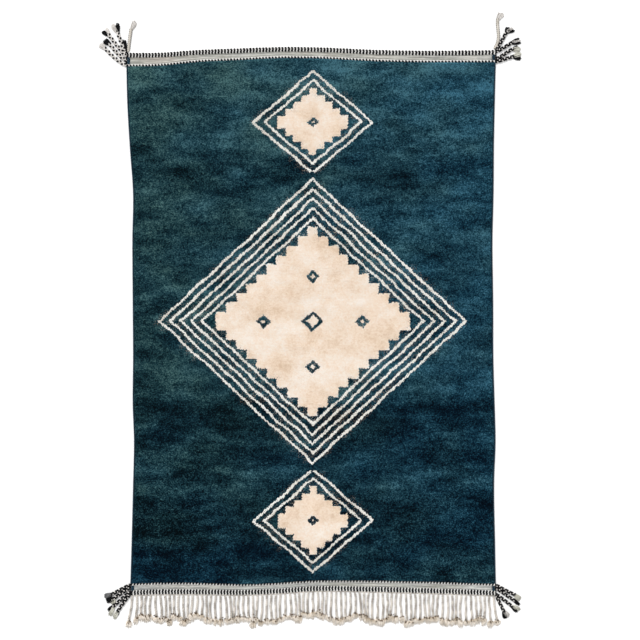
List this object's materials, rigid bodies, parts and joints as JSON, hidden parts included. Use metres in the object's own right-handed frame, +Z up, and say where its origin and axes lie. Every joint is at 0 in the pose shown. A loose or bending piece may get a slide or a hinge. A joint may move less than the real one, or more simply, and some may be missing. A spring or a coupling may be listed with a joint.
{
  "type": "beni mrirt rug",
  "caption": "Rectangular hand-knotted wool pile rug, laid flat, with kilim headings, twined rows, a knotted warp fringe at one end and braided cords at the corners.",
  "frame": {"origin": "middle of the rug's body on the flat underside of the pile cloth", "axes": "+Z up out of the pile, +Y along the length to the end without a fringe, +X across the width"},
  "size_m": [2.3339, 3.3841, 0.0202],
  "materials": {
    "pile_teal": "dense plush wool pile in deep teal and indigo, with uneven dye",
    "pile_cream": "dense plush wool pile in undyed warm cream",
    "kilim_wool": "flat weft-faced weave in grey-beige wool",
    "twine_dark": "tightly spun near-black wool yarn",
    "twine_light": "tightly spun off-white yarn",
    "selvedge_yarn": "overcast dark navy wool yarn",
    "warp_cord": "two-ply off-white warp cord, fluffed at its ends",
    "braid_yarn": "black and off-white yarns braided together, fluffed at their ends"
  },
  "bodies": {
    "root": {"pile_field": "pile_teal", "kilim_top": "kilim_wool", "kilim_bottom": "kilim_wool", "twine_outer_top": "twine_dark", "twine_outer_bottom": "twine_dark", "twine_inner_top": "twine_light", "twine_inner_bottom": "twine_light", "selvedge_left": "selvedge_yarn", "selvedge_right": "selvedge_yarn", "end_wrap_top_left": "selvedge_yarn", "end_wrap_top_right": "selvedge_yarn", "end_wrap_bottom_left": "selvedge_yarn", "end_wrap_bottom_right": "selvedge_yarn", "fringe_bottom": "warp_cord", "tassel_top_left": "braid_yarn", "tassel_top_right": "braid_yarn", "tassel_bottom_left": "braid_yarn", "tassel_bottom_right": "braid_yarn"}
  },
  "joints": []
}
